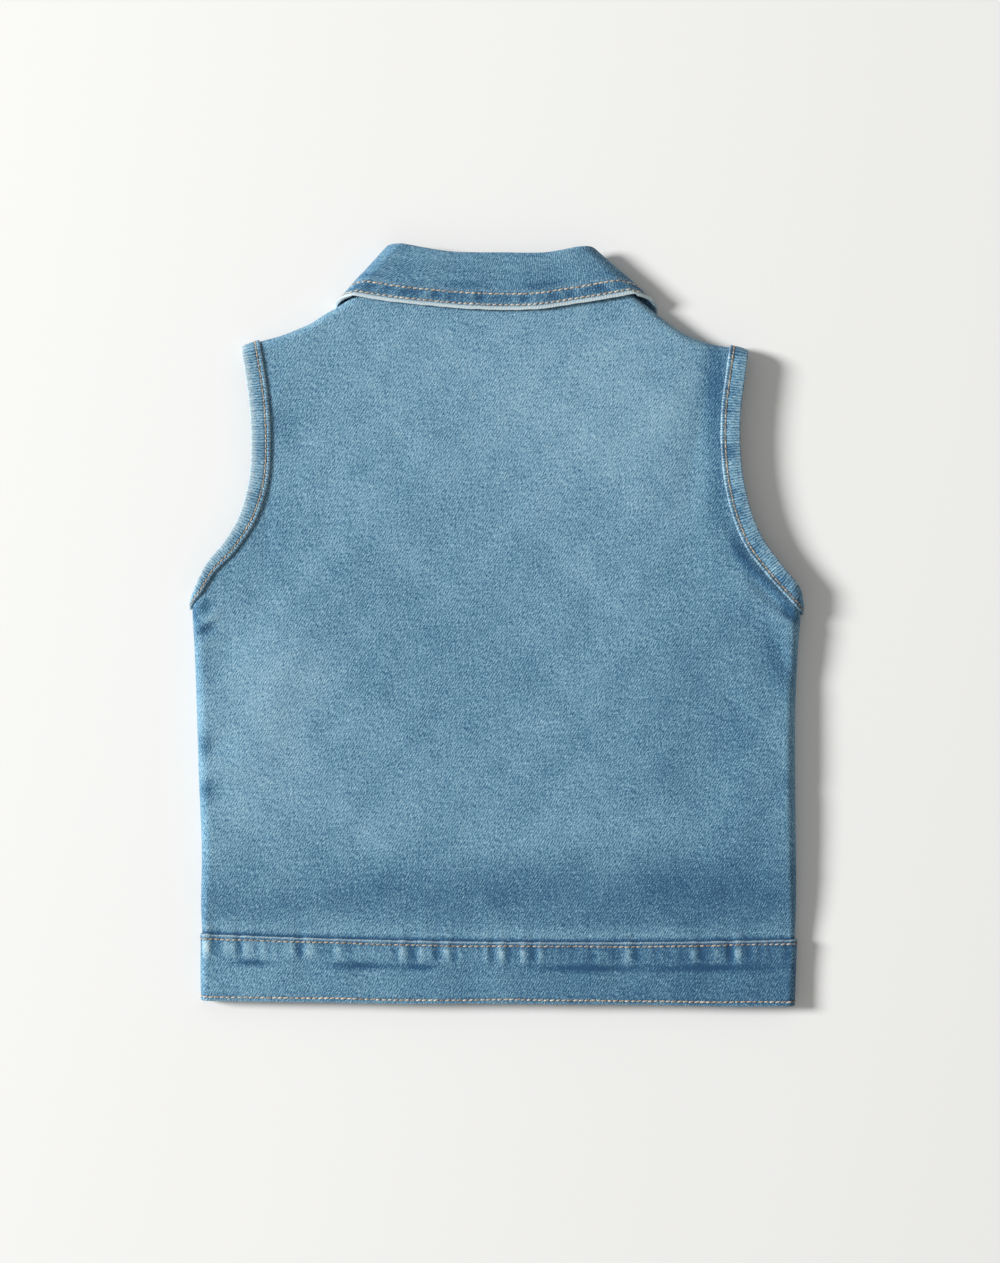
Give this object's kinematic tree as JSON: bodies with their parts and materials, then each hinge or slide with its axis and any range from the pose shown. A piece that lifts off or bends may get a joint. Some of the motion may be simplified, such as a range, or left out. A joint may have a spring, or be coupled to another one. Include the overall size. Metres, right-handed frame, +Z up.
{
  "type": "denim vest",
  "caption": "Child's sleeveless denim vest with turned-down collar, bound armholes and waistband, laid flat and face down with its back on top.",
  "frame": {"origin": "middle of the outline, on the surface that the vest lies on", "axes": "+Y from the hem to the collar, +X to the right as seen from above, which is the wearer's right because the back is on top, +Z up through the cloth layers"},
  "size_m": [0.3502, 0.4349, 0.0144],
  "materials": {
    "denim_body": "light-wash stretch denim twill, soft and matt",
    "denim_collar": "light-wash denim twill with a darker roll and worn pale edges",
    "denim_binding": "light-wash denim folded to a narrow binding, worn pale at its fold",
    "denim_waistband": "light-wash denim band, puckered along its topstitching",
    "button_metal": "plain domed metal button, dull silver"
  },
  "bodies": {
    "root": {"back_panel": "denim_body", "waistband_back": "denim_waistband", "collar": "denim_collar", "front_left": "denim_body", "armhole_band_back_left": "denim_binding", "armhole_band_front_left": "denim_binding", "waistband_front_left": "denim_waistband", "placket_left": "denim_body", "front_right": "denim_body", "armhole_band_back_right": "denim_binding", "armhole_band_front_right": "denim_binding", "waistband_front_right": "denim_waistband", "placket_right": "denim_body", "button_1": "button_metal", "button_2": "button_metal", "button_3": "button_metal", "button_4": "button_metal", "button_5": "button_metal", "button_6": "button_metal"}
  },
  "joints": []
}
